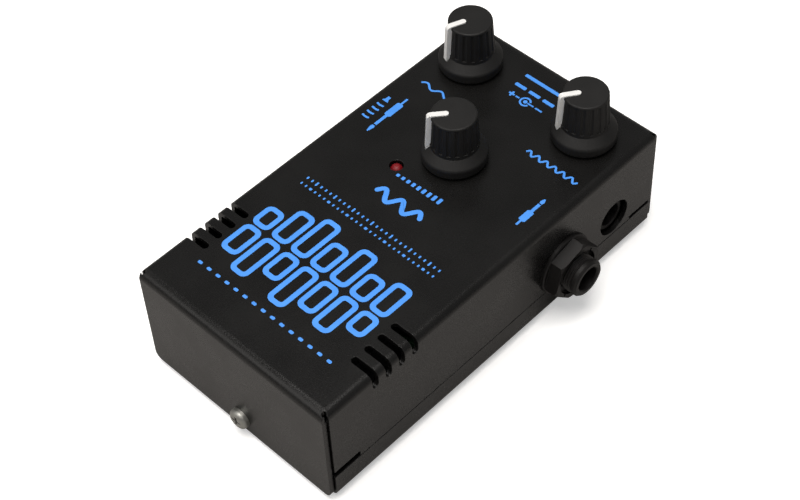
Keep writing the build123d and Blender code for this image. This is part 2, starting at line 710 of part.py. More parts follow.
def make_tip_spring(seat, switched):
    """Leaf that presses on the plug's tip. It flexes about its root, near the bushing."""
    with BuildPart() as spring:
        profile = strip_profile(edge_plane(seat), TIP_PATH, LEAF, TIP_BEND, side=Side.RIGHT)
        extrude(profile, LEAF_WIDTH / 2, both=True)
        if switched:
            seat_block(seat, SWITCH_EAR_U, (SWITCH_EAR_V, SWITCH_EAR_V + LEAF), SWITCH_EAR_W)
    return spring


def make_sleeve_spring(seat):
    """Leaf that presses on the plug's sleeve from below."""
    with BuildPart() as spring:
        profile = strip_profile(edge_plane(seat), SLEEVE_PATH, LEAF, SLEEVE_BEND, side=Side.RIGHT)
        extrude(profile, LEAF_WIDTH / 2, both=True)
    return spring


def make_jack_terminals(seat):
    """Fixed ends of the tip and sleeve contacts, which go up through the board."""
    with BuildPart() as terminals:
        root_w, root_v = TIP_PATH[0]
        tip_w = (root_w + 0.1, root_w + 0.5)
        seat_block(seat, TIP_PLATE_U, (root_v, root_v + TIP_PLATE_HEIGHT), tip_w)
        seat_block(seat, TIP_STRIP_U, (root_v, JACK_TERMINAL_TOP), tip_w)
        root_w, root_v = SLEEVE_PATH[0]
        sleeve_w = (root_w - 1.1, root_w - 0.1)
        sleeve_edge = SLEEVE_STRIP_U[1]
        seat_block(seat, (-LEAF_WIDTH / 2, sleeve_edge), (root_v - LEAF, root_v), sleeve_w)
        seat_block(seat, SLEEVE_STRIP_U, (root_v - LEAF, JACK_TERMINAL_TOP), sleeve_w)
    return terminals


def make_switch_contact(seat):
    """Contact that the tip spring rests beside while no plug is in."""
    with BuildPart() as contact:
        edge = SWITCH_STRIP_U[0]
        seat_block(seat, (edge, SWITCH_REACH), (SWITCH_V, SWITCH_V + LEAF), SWITCH_W)
        seat_block(seat, SWITCH_STRIP_U, (SWITCH_V, JACK_TERMINAL_TOP), SWITCH_W)
    return contact


def thread_outline():
    """Half outline of the bushing's ringed thread, from the panel's inner face to its nose."""
    points = [(0, -SHEET), (THREAD_RADIUS, -SHEET)]
    rings = int((THREAD_END + SHEET) / THREAD_PITCH)
    for ring in range(rings):
        start = ring * THREAD_PITCH - SHEET + THREAD_LAND
        points.append((THREAD_RADIUS, start))
        points.append((THREAD_RADIUS - THREAD_DEPTH, start + THREAD_PITCH / 2))
    points.append((THREAD_RADIUS, THREAD_END))
    points.append((THREAD_RADIUS, NOSE_START))
    points.append((NOSE_RADIUS, JACK_REACH))
    points.append((0, JACK_REACH))
    return points


def make_jack_housing(seat, fixed_contacts):
    """Plastic jack body with its threaded bushing, bore and contact chamber."""
    with BuildPart() as housing:
        revolve(outline(radial_plane(seat), thread_outline()), axis=seat_axis(seat))
        seat_block(seat, (-JACK_BODY_U, JACK_BODY_U), JACK_BODY_V, JACK_BODY_W)
        chamber_w = (-JACK_BODY_DEPTH, -JACK_BORE_DEPTH)
        seat_block(seat, (-CHAMBER_U, CHAMBER_U), CHAMBER_V, chamber_w, mode=Mode.SUBTRACT)
        with Locations(seat.offset(JACK_REACH)):
            Hole(JACK_BORE, depth=JACK_REACH + JACK_BORE_DEPTH)
        front_edges = housing.edges().filter_by(GeomType.CIRCLE).group_by(seat_axis(seat))[-1]
        chamfer(front_edges.sort_by(SortBy.RADIUS)[0], JACK_MOUTH_CHAMFER)
        for contact in fixed_contacts:
            add(contact.part, mode=Mode.SUBTRACT)
    return housing


def make_jack_nut(seat):
    """Hexagonal plastic nut with a round flange, a recessed face and wrench notches."""
    corner = NUT_ACROSS_FLATS / 2 / cos(radians(30))
    bevel = [
        (0, 0),
        (corner + 0.1, 0),
        (corner + 0.1, NUT_THICKNESS - NUT_BEVEL),
        (corner - NUT_BEVEL, NUT_THICKNESS),
        (0, NUT_THICKNESS),
    ]
    flange = [
        (0, 0),
        (NUT_FLANGE_RADIUS, 0),
        (NUT_FLANGE_RADIUS, NUT_FLANGE_THICKNESS - NUT_FLANGE_CHAMFER),
        (NUT_FLANGE_RADIUS - NUT_FLANGE_CHAMFER, NUT_FLANGE_THICKNESS),
        (0, NUT_FLANGE_THICKNESS),
    ]
    with BuildPart() as nut:
        with BuildSketch(seat):
            RegularPolygon(NUT_ACROSS_FLATS / 2, 6, major_radius=False, rotation=NUT_TURN)
        extrude(amount=NUT_THICKNESS)
        revolve(outline(radial_plane(seat), bevel), axis=seat_axis(seat), mode=Mode.INTERSECT)
        revolve(outline(radial_plane(seat), flange), axis=seat_axis(seat))
        with Locations(seat.offset(NUT_THICKNESS)):
            Hole(NUT_RECESS_RADIUS, depth=NUT_RECESS_DEPTH)
            Hole(THREAD_RADIUS + THREAD_FIT)
            with PolarLocations(NOTCH_RING, 6, start_angle=NUT_TURN + 30):
                Box(*NOTCH_SIZE, mode=Mode.SUBTRACT)
    return nut


for name, seat in (("input", INPUT_SEAT), ("output", OUTPUT_SEAT)):
    switched = name == "input"
    terminals = make_jack_terminals(seat)
    finish(terminals, f"{name}_jack_terminals")
    fixed_contacts = [terminals]
    lead_spots = [TIP_LEAD, SLEEVE_LEAD]
    if switched:
        switch_contact = make_switch_contact(seat)
        finish(switch_contact, f"{name}_jack_switch_contact")
        fixed_contacts.append(switch_contact)
        lead_spots.append(SWITCH_LEAD)
    finish(make_jack_housing(seat, fixed_contacts), f"{name}_jack_housing")
    finish(make_jack_nut(seat), f"{name}_jack_nut")
    finish(make_tip_spring(seat, switched), f"{name}_jack_tip_spring")
    finish(make_sleeve_spring(seat), f"{name}_jack_sleeve_spring")
    outwards = seat.z_dir.X
    for u, w in lead_spots:
        lead_points.append((seat.origin.X + outwards * w, seat.origin.Y + outwards * u))

# ---------------------------------------------------------------- DC inlet

with BuildPart() as power_jack_terminals:
    for u, w in POWER_TERMINALS:
        width = (u - POWER_TERMINAL_SIZE[0] / 2, u + POWER_TERMINAL_SIZE[0] / 2)
        thickness = (w - POWER_TERMINAL_SIZE[1] / 2, w + POWER_TERMINAL_SIZE[1] / 2)
        seat_block(INLET_SEAT, width, (POWER_TERMINAL_FOOT, POWER_TERMINAL_TOP), thickness)
        lead_points.append((INLET_SEAT.origin.X + w, INLET_SEAT.origin.Y + u))
finish(power_jack_terminals, "power_jack_terminals")

with BuildPart() as power_jack_pin:
    pin_length = POWER_DEPTH + POWER_PIN_TIP
    with BuildSketch(radial_plane(INLET_SEAT)) as pin_profile:
        with Locations((POWER_PIN_RADIUS / 2, POWER_PIN_TIP - pin_length / 2)):
            Rectangle(POWER_PIN_RADIUS, pin_length)
        tip_corner = pin_profile.vertices().group_by(Axis.X)[-1].sort_by(Axis.Y)[-1]
        fillet(tip_corner, POWER_PIN_ROUND)
        with Locations((POWER_PIN_ROOT / 2, -POWER_DEPTH - POWER_PIN_ROOT_LENGTH / 2)):
            Rectangle(POWER_PIN_ROOT, POWER_PIN_ROOT_LENGTH)
    revolve(axis=seat_axis(INLET_SEAT))
finish(power_jack_pin, "power_jack_pin")

with BuildPart() as power_jack_spring:
    spring_profile = strip_profile(
        edge_plane(INLET_SEAT),
        POWER_SPRING_PATH,
        POWER_SPRING_THICKNESS,
        POWER_SPRING_BEND,
        side=Side.RIGHT,
    )
    extrude(spring_profile, POWER_SPRING_WIDTH / 2, both=True)
finish(power_jack_spring, "power_jack_spring")

with BuildPart() as power_jack_housing:
    body_w = (POWER_BODY_BACK, -POWER_COLLAR_LENGTH)
    seat_block(INLET_SEAT, (-POWER_BODY_U, POWER_BODY_U), (POWER_BODY_FOOT, POWER_TO_BOARD), body_w)
    with BuildSketch(INLET_SEAT.offset(-POWER_COLLAR_LENGTH)):
        Circle(POWER_COLLAR)
    extrude(amount=POWER_COLLAR_LENGTH)
    with Locations(INLET_SEAT):
        Hole(POWER_BORE, depth=POWER_DEPTH)
        Hole(POWER_PIN_ROOT, depth=POWER_DEPTH + POWER_PIN_ROOT_LENGTH)
    slot_u = (-POWER_SLOT_U, POWER_SLOT_U)
    seat_block(INLET_SEAT, slot_u, POWER_SLOT_V, POWER_SLOT_W, mode=Mode.SUBTRACT)
    add(power_jack_terminals.part, mode=Mode.SUBTRACT)
finish(power_jack_housing, "power_jack_housing")

# ---------------------------------------------------------------- indicator

with BuildPart() as power_led:
    with BuildSketch(Plane.XY.offset(LED_FOOT)):
        with Locations(LED_CENTRE):
            Circle(LED_RADIUS + LED_FLANGE)
    extrude(amount=LED_FLANGE_HEIGHT)
    with BuildSketch(Plane.XY.offset(LED_FOOT + LED_FLANGE_HEIGHT)):
        with Locations(LED_CENTRE):
            Circle(LED_RADIUS)
    extrude(amount=LED_HEIGHT - LED_FLANGE_HEIGHT)
    fillet(power_led.edges().group_by(Axis.Z)[-1], LED_RADIUS - 0.1)
finish(power_led, "power_led")


def lead(x, y, low, high):
    """Square lead through the board."""
    block((x - LEAD_HALF, x + LEAD_HALF), (y - LEAD_HALF, y + LEAD_HALF), (low, high))
    lead_points.append((x, y))


with BuildPart() as led_leads:
    for side in (-1, 1):
        lead(LED_CENTRE[0] + side * LED_LEAD_OFFSET, LED_CENTRE[1], LEAD_BOTTOM, LED_FOOT)
finish(led_leads, "led_leads")

# ---------------------------------------------------------------- power amplifier

chip_back = SINK_BACK + PAD_THICKNESS
chip_lead_y = chip_back + CHIP_LEAD_SETBACK
chip_screw_seat = Plane(
    origin=(0, chip_back + CHIP_TAB, CHIP_SCREW_Z), x_dir=(1, 0, 0), z_dir=(0, 1, 0)
)

with BuildPart() as heat_sink:
    sink_z = (TRAY_FLOOR, BOARD_TOP + SINK_ABOVE_BOARD)
    plate_front = SINK_BACK - SINK_PLATE
    block((-SINK_HALF_WIDTH, SINK_HALF_WIDTH), (plate_front, SINK_BACK), sink_z)
    for step in range(-FINS_EACH_SIDE, FINS_EACH_SIDE + 1):
        x = step * FIN_PITCH
        fin = (x - FIN_THICKNESS / 2, x + FIN_THICKNESS / 2)
        block(fin, (SINK_FRONT, plate_front), sink_z)
    with Locations(*[(x, y, TRAY_FLOOR + SINK_SCREW_DEPTH) for x, y in sink_screw_spots]):
        Hole(SCREW_HOLE, depth=SINK_SCREW_DEPTH)
    with Locations(Plane(origin=(0, SINK_BACK, CHIP_SCREW_Z), z_dir=(0, 1, 0))):
        Hole(SCREW_HOLE, depth=CHIP_SCREW_DEPTH)
finish(heat_sink, "heat_sink")

with BuildPart() as insulating_pad:
    pad_z = (PAD_FOOT, BOARD_BOTTOM - PAD_BELOW_BOARD)
    block((-PAD_HALF_WIDTH, PAD_HALF_WIDTH), (SINK_BACK, chip_back), pad_z)
    with Locations(Plane(origin=(0, chip_back, CHIP_SCREW_Z), z_dir=(0, 1, 0))):
        Hole(SCREW_HOLE + HOLE_CLEARANCE, depth=PAD_THICKNESS)
finish(insulating_pad, "insulating_pad")

with BuildPart() as power_amp_chip:
    wide = (-CHIP_HALF_WIDTH, CHIP_HALF_WIDTH)
    tab_foot, body_foot, body_top = CHIP_LEVELS
    block(wide, (chip_back, chip_back + CHIP_TAB), (tab_foot, body_top))
    block(wide, (chip_back, chip_back + CHIP_THICKNESS), (body_foot, body_top))
    with Locations(chip_screw_seat):
        Hole(SCREW_HOLE + CHIP_HOLE_CLEARANCE, depth=CHIP_TAB)
    for step in range(-2, 3):
        x = step * CHIP_LEAD_PITCH
        lead_x = (x - CHIP_LEAD_HALF_WIDTH, x + CHIP_LEAD_HALF_WIDTH)
        lead_y = (chip_lead_y - LEAD_HALF, chip_lead_y + LEAD_HALF)
        block(lead_x, lead_y, (body_top, LEAD_TOP))
        lead_points.append((x, chip_lead_y))
finish(power_amp_chip, "power_amp_chip")

with BuildPart() as chip_screw:
    pan_head_screw(chip_screw_seat, *CHIP_SCREW_HEAD, CHIP_SCREW_LENGTH)
finish(chip_screw, "chip_screw")

with BuildPart() as heat_sink_screws:
    for x, y in sink_screw_spots:
        screw_seat = Plane(origin=(x, y, CASE_BOTTOM), x_dir=(1, 0, 0), z_dir=(0, 0, -1))
        pan_head_screw(screw_seat, *SINK_SCREW_HEAD, SINK_SCREW_LENGTH)
finish(heat_sink_screws, "heat_sink_screws")

# ---------------------------------------------------------------- board components


def can_capacitor(x, y, radius, height, pitch):
    """Electrolytic can hanging under the board, crimped near its seal, with two leads."""
    top = BOARD_BOTTOM - STAND_OFF
    crimp_top, crimp_middle, crimp_foot = CRIMP
    can = [
        (0, 0),
        (radius, 0),
        (radius, -crimp_top),
        (radius - CRIMP_DEPTH, -crimp_middle),
        (radius, -crimp_foot),
        (radius, -height),
        (0, -height),
    ]
    seat = Plane(origin=(x, y, top), x_dir=(1, 0, 0), z_dir=(0, 0, 1))
    revolve(outline(radial_plane(seat), can), axis=seat_axis(seat))
    for side in (-1, 1):
        lead(x + side * pitch / 2, y, top, LEAD_TOP)


def axial_part(x, y, radius, length, pitch):
    """Two-lead part lying along X above the board, its leads bent down through it."""
    height = BOARD_TOP + STAND_OFF + radius
    reach = pitch / 2
    path = [(-reach, LEAD_BOTTOM), (-reach, height), (reach, height), (reach, LEAD_BOTTOM)]
    with BuildLine(Plane(origin=(x, y, 0), x_dir=(1, 0, 0), z_dir=(0, -1, 0))) as wire:
        FilletPolyline(*path, radius=WIRE_BEND)
    with BuildSketch(Plane(origin=(x - reach, y, LEAD_BOTTOM))) as section:
        Circle(WIRE_RADIUS)
    sweep(section.sketch, path=wire.line)
    with Locations((x, y, height)):
        Cylinder(radius, length, rotation=(0, 90, 0))
    lead_points.extend([(x - reach, y), (x + reach, y)])


with BuildPart() as supply_capacitor:
    can_capacitor(*SUPPLY_CAN)
finish(supply_capacitor, "supply_capacitor")

with BuildPart() as output_capacitor:
    can_capacitor(*OUTPUT_CAN)
finish(output_capacitor, "output_capacitor")

with BuildPart() as coupling_capacitors:
    for coupling_can in COUPLING_CANS:
        can_capacitor(*coupling_can)
finish(coupling_capacitors, "coupling_capacitors")

with BuildPart() as film_capacitors:
    film_top = BOARD_BOTTOM - STAND_OFF
    for y in FILM_YS:
        with Locations((0, y, film_top)):
            Box(*FILM_SIZE, align=(Align.CENTER, Align.CENTER, Align.MAX))
        for side in (-1, 1):
            lead(side * FILM_PITCH / 2, y, film_top, LEAD_TOP)
finish(film_capacitors, "film_capacitors")

with BuildPart() as resistors:
    for x, y in RESISTOR_CENTRES:
        axial_part(x, y, *RESISTOR_SIZE)
finish(resistors, "resistors")

with BuildPart() as diodes:
    for x, y in DIODE_CENTRES:
        axial_part(x, y, *DIODE_SIZE)
finish(diodes, "diodes")

with BuildPart() as preamp_chip:
    chip_foot = BOARD_TOP + STAND_OFF
    pin_z = (chip_foot + PREAMP_PIN_RISE[0], chip_foot + PREAMP_PIN_RISE[1])
    with Locations((PREAMP_X, 0, chip_foot)):
        Box(*PREAMP_SIZE, align=(Align.CENTER, Align.CENTER, Align.MIN))
    for side in (-1, 1):
        shoulder = span(side, PREAMP_SIZE[0] / 2, PREAMP_PIN_X + LEAD_HALF)
        shoulder_x = (PREAMP_X + shoulder[0], PREAMP_X + shoulder[1])
        for y in PREAMP_PIN_YS:
            block(shoulder_x, (y - PREAMP_PIN_HALF, y + PREAMP_PIN_HALF), pin_z)
            lead(PREAMP_X + side * PREAMP_PIN_X, y, LEAD_BOTTOM, pin_z[1])
finish(preamp_chip, "preamp_chip")

with BuildPart() as transistors:
    transistor_foot = BOARD_TOP + STAND_OFF
    for x, y in TRANSISTOR_CENTRES:
        with BuildSketch(Plane.XY.offset(transistor_foot)):
            with Locations((x, y)):
                Circle(TRANSISTOR_RADIUS)
                with Locations((0, -TRANSISTOR_RADIUS)):
                    Rectangle(3 * TRANSISTOR_RADIUS, TRANSISTOR_RADIUS, mode=Mode.SUBTRACT)
        extrude(amount=TRANSISTOR_HEIGHT)
        for step in (-1, 0, 1):
            lead(x + step * TRANSISTOR_PITCH, y, LEAD_BOTTOM, transistor_foot)
finish(transistors, "transistors")

with BuildPart() as circuit_board:
    block((-BOARD_X, BOARD_X), (BOARD_FRONT, BOARD_BACK), (BOARD_BOTTOM, BOARD_TOP))
    fillet(circuit_board.edges().filter_by(Axis.Z), BOARD_CORNER)
    with Locations(*[(x, y, BOARD_TOP) for x, y in lead_points]):
        Hole(LEAD_HOLE, depth=BOARD_THICKNESS)
finish(circuit_board, "circuit_board")

with BuildPart() as insulating_sheet:
    block((-SHEET_X, SHEET_X), SHEET_Y, (TRAY_FLOOR, TRAY_FLOOR + SHEET_THICKNESS))
finish(insulating_sheet, "insulating_sheet")
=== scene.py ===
"""Looks of a small pedal-format guitar amplifier head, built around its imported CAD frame.

Metres, +Z up. The origin is on the surface the feet stand on, under the middle of the case.
"""

import json
from math import cos, pi, radians, sin

import bmesh
import bpy
from mathutils import Matrix, Vector


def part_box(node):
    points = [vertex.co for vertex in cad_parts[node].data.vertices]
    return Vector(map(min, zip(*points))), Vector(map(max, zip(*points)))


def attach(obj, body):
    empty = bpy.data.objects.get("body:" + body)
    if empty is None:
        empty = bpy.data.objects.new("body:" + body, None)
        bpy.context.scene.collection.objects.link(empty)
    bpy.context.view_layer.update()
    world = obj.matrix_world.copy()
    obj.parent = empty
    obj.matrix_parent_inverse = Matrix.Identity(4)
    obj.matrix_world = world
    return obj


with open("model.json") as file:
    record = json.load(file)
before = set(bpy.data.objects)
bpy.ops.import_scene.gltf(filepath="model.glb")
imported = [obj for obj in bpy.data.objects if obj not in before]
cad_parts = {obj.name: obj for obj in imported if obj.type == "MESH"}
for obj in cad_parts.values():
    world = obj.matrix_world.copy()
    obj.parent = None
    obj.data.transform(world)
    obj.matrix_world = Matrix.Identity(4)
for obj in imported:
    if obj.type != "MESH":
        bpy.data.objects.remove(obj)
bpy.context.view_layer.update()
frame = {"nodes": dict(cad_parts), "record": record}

MM = 0.001

# ---------------------------------------------------------------- camera, light and floor

# The camera looks down on the corner between the screw end and the input jack's side.
VIEW_AZIMUTH = 45.73
VIEW_ELEVATION = 49.25
VIEW_ROLL = -2.78
VIEW_DISTANCE = 432.6 * MM
AIM_OFFSET = Vector((-1.4, 3.3, 0.5)) * MM
LENS = 81.73
LENS_SHIFT = (-0.0156, -0.0242)

# Softboxes: azimuth, elevation, distance (m), width, height, power (W).
SOFTBOXES = {
    "overhead": (15, 80, 0.75, 0.50, 0.50, 6.2),
    "front_left": (-25, 35, 0.90, 0.45, 0.60, 1.3),
    "right": (95, 40, 0.90, 0.30, 0.60, 0.05),
}
LIGHT_COLOUR = (1.0, 0.965, 0.93)
ROOM_COLOUR = (1.0, 0.995, 0.985)
ROOM_LEVEL = 0.24
BACKDROP_LEVEL = 1.0
FLOOR_SIZE = 2.4
FLOOR_GLOW = 0.4
FLOOR_REFLECTED = (0.425, 0.41, 0.395)
PAPER_DARK = (0.90, 0.90, 0.895)
PAPER_LIGHT = (0.94, 0.94, 0.935)


def direction(azimuth, elevation):
    """Unit vector from the object towards an azimuth and elevation in degrees; 0 is the -Y side."""
    turn, rise = radians(azimuth), radians(elevation)
    return Vector((sin(turn) * cos(rise), -cos(turn) * cos(rise), sin(rise)))


def case_centre():
    """Middle of the case's box."""
    low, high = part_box("top_cover")
    return (low + high) / 2


def add_camera():
    """Camera at the viewing angle named at the top of this script."""
    data = bpy.data.cameras.new("camera")
    data.lens = LENS
    data.shift_x, data.shift_y = LENS_SHIFT
    data.clip_start, data.clip_end = 0.01, 20.0
    camera = bpy.data.objects.new("camera", data)
    away = direction(VIEW_AZIMUTH, VIEW_ELEVATION)
    camera.location = case_centre() + AIM_OFFSET + away * VIEW_DISTANCE
    level = (-away).to_track_quat("-Z", "Y").to_matrix()
    camera.rotation_euler = (level @ Matrix.Rotation(radians(VIEW_ROLL), 3, "Z")).to_euler()
    bpy.context.scene.collection.objects.link(camera)
    bpy.context.scene.camera = camera


def add_softbox(name, azimuth, elevation, distance, width, height, power):
    """Rectangular area light aimed at the case and hidden from the camera."""
    data = bpy.data.lights.new(name, "AREA")
    data.shape = "RECTANGLE"
    data.size, data.size_y = width, height
    data.energy = power
    data.color = LIGHT_COLOUR
    light = bpy.data.objects.new(name, data)
    away = direction(azimuth, elevation)
    light.location = case_centre() + away * distance
    light.rotation_euler = (-away).to_track_quat("-Z", "Y").to_euler()
    light.visible_camera = False
    bpy.context.scene.collection.objects.link(light)


def add_room():
    """Dim surroundings for light, with a pale backdrop where the camera sees past the floor."""
    world = bpy.data.worlds.new("room")
    world.use_nodes = True
    bpy.context.scene.world = world
    tree = world.node_tree
    tree.nodes.clear()
    path = tree.nodes.new("ShaderNodeLightPath")
    level = tree.nodes.new("ShaderNodeMapRange")
    level.inputs["To Min"].default_value = ROOM_LEVEL
    level.inputs["To Max"].default_value = BACKDROP_LEVEL
    background = tree.nodes.new("ShaderNodeBackground")
    background.inputs["Color"].default_value = rgba(ROOM_COLOUR)
    output = tree.nodes.new("ShaderNodeOutputWorld")
    tree.links.new(path.outputs["Is Camera Ray"], level.inputs["Value"])
    tree.links.new(level.outputs["Result"], background.inputs["Strength"])
    tree.links.new(background.outputs["Background"], output.inputs["Surface"])


# ---------------------------------------------------------------- material building


def add_node(tree, kind, inputs=None, **settings):
    """New node, with settings as attributes and each input a value or another node's socket."""
    made = tree.nodes.new(kind)
    for key, value in settings.items():
        setattr(made, key, value)
    for key, value in (inputs or {}).items():
        if isinstance(value, bpy.types.NodeSocket):
            tree.links.new(value, made.inputs[key])
        else:
            made.inputs[key].default_value = value
    return made


def rgba(colour):
    """Colour with full opacity."""
    return (*colour, 1.0)


def noise(tree, place, size, detail=2.0, stretch=(1, 1, 1)):
    """Noise of about the given feature size, in metres; stretch lengthens it along an axis."""
    scale = tuple(1 / (size * factor) for factor in stretch)
    mapping = add_node(tree, "ShaderNodeMapping", {"Vector": place, "Scale": scale})
    inputs = {"Vector": mapping.outputs[0], "Scale": 1.0, "Detail": detail}
    return add_node(tree, "ShaderNodeTexNoise", inputs).outputs["Fac"]


def remap(tree, value, low, high, start=0.3, end=0.7):
    """Value between start and end taken to the range from low to high."""
    inputs = {"Value": value, "From Min": start, "From Max": end, "To Min": low, "To Max": high}
    return add_node(tree, "ShaderNodeMapRange", inputs).outputs["Result"]


def blend_colour(tree, share, first, second, mode="MIX"):
    """Colours mixed by a share; each is an RGB tuple or a socket."""
    made = add_node(tree, "ShaderNodeMix", data_type="RGBA", blend_type=mode)
    pairs = ((made.inputs[0], share), (made.inputs[6], first), (made.inputs[7], second))
    for socket, value in pairs:
        if isinstance(value, bpy.types.NodeSocket):
            tree.links.new(value, socket)
        else:
            socket.default_value = value if isinstance(value, float) else rgba(value)
    return made.outputs[2]


def calculate(tree, operation, first, second):
    """One arithmetic step on two values or sockets."""
    made = add_node(tree, "ShaderNodeMath", operation=operation)
    for socket, value in zip(made.inputs, (first, second)):
        if isinstance(value, bpy.types.NodeSocket):
            tree.links.new(value, socket)
        else:
            socket.default_value = value
    return made.outputs[0]


# Cosine between the rounded and the true normal on a fully worn edge, and where the wear stops.
EDGE_WORN, EDGE_SOUND = 0.82, 0.995
COAT_ROUGHNESS = 0.12
GLOSS_GRAIN = 0.04


def edge_share(tree, rounded):
    """Near 1 where the rounded normal leaves the true one, that is along sharp edges."""
    true = add_node(tree, "ShaderNodeNewGeometry").outputs["Normal"]
    facing = add_node(tree, "ShaderNodeVectorMath", {0: true, 1: rounded}, operation="DOT_PRODUCT")
    return remap(tree, facing.outputs["Value"], 1.0, 0.0, start=EDGE_WORN, end=EDGE_SOUND)


def make_finish(
    name,
    dark,
    light,
    roughness,
    grain=0.3 * MM,
    relief=0.01 * MM,
    patch=8 * MM,
    stretch=(1, 1, 1),
    metallic=0.0,
    specular=0.5,
    coat=0.0,
    edge=0.1 * MM,
    worn=None,
    wear=0.0,
    pattern=None,
):
    """Material with a fine grain, slow patches of colour and gloss, softened edges and edge wear.

    roughness is a (low, high) pair. pattern, if given, is a function that takes the tree, the
    place and the base colour, and returns a new base colour and an extra height or None.
    """
    material = bpy.data.materials.new(name)
    material.use_nodes = True
    tree = material.node_tree
    tree.nodes.clear()
    place = add_node(tree, "ShaderNodeTexCoord").outputs["Object"]
    fine = noise(tree, place, grain, 3.0, stretch)
    slow = noise(tree, place, patch, 4.0)
    colour = blend_colour(tree, remap(tree, slow, 0.0, 0.6), dark, light)
    colour = blend_colour(tree, remap(tree, fine, 0.0, 0.5), colour, light)
    grain_gloss = remap(tree, fine, -GLOSS_GRAIN, GLOSS_GRAIN)
    gloss = calculate(tree, "ADD", remap(tree, slow, *roughness), grain_gloss)
    rounded = add_node(tree, "ShaderNodeBevel", {"Radius": edge}, samples=4).outputs["Normal"]
    if worn:
        rubbed = calculate(tree, "MULTIPLY", edge_share(tree, rounded), remap(tree, fine, 0.3, 1.0))
        rubbed = calculate(tree, "MULTIPLY", rubbed, wear)
        colour = blend_colour(tree, rubbed, colour, worn)
    height = fine
    if pattern:
        colour, extra = pattern(tree, place, colour)
        if extra:
            height = calculate(tree, "ADD", fine, extra)
    bump = add_node(
        tree,
        "ShaderNodeBump",
        {"Strength": 1.0, "Distance": relief, "Height": height, "Normal": rounded},
    )
    shader = add_node(
        tree,
        "ShaderNodeBsdfPrincipled",
        {
            "Base Color": colour,
            "Metallic": metallic,
            "Roughness": gloss,
            "Specular IOR Level": specular,
            "Coat Weight": coat,
            "Coat Roughness": COAT_ROUGHNESS,
            "Normal": bump.outputs["Normal"],
        },
    )
    add_node(tree, "ShaderNodeOutputMaterial", {"Surface": shader.outputs["BSDF"]})
    return material


# ---------------------------------------------------------------- the finishes


TRACK_GREEN = (0.012, 0.050, 0.020)
TRACK_RISE = 2.0
RING_RISE = 0.4
BAND_RED = (0.25, 0.05, 0.02)
BAND_PITCH = 0.9 * MM


def lathe_rings(tree, place, colour):
    """Faint turned rings round Z, for knob tops and shaft ends."""
    rings = add_node(
        tree,
        "ShaderNodeTexWave",
        {"Vector": place, "Scale": 900.0, "Distortion": 2.0, "Detail": 2.0},
        wave_type="RINGS",
        rings_direction="Z",
    ).outputs["Fac"]
    return colour, calculate(tree, "MULTIPLY", rings, RING_RISE)


def copper_tracks(tree, place, colour):
    """Copper tracks showing as lighter, raised lines under the board's solder resist."""
    track = add_node(
        tree,
        "ShaderNodeTexBrick",
        {
            "Vector": place,
            "Scale": 1.0,
            "Brick Width": 5.1 * MM,
            "Row Height": 2.54 * MM,
            "Mortar Size": 0.22 * MM,
            "Mortar Smooth": 0.3,
        },
    ).outputs["Fac"]
    return blend_colour(tree, track, colour, TRACK_GREEN), calculate(tree, "MULTIPLY", track, TRACK_RISE)


def colour_bands(tree, place, colour):
    """Bands round parts that lie along X, repeated at their pitch."""
    along = add_node(tree, "ShaderNodeSeparateXYZ", {"Vector": place}).outputs["X"]
    across = calculate(tree, "PINGPONG", calculate(tree, "ABSOLUTE", along, 0.0), BAND_PITCH)
    band = remap(tree, across, 1.0, 0.0, start=0.25 * MM, end=0.32 * MM)
    return blend_colour(tree, band, colour, BAND_RED), band


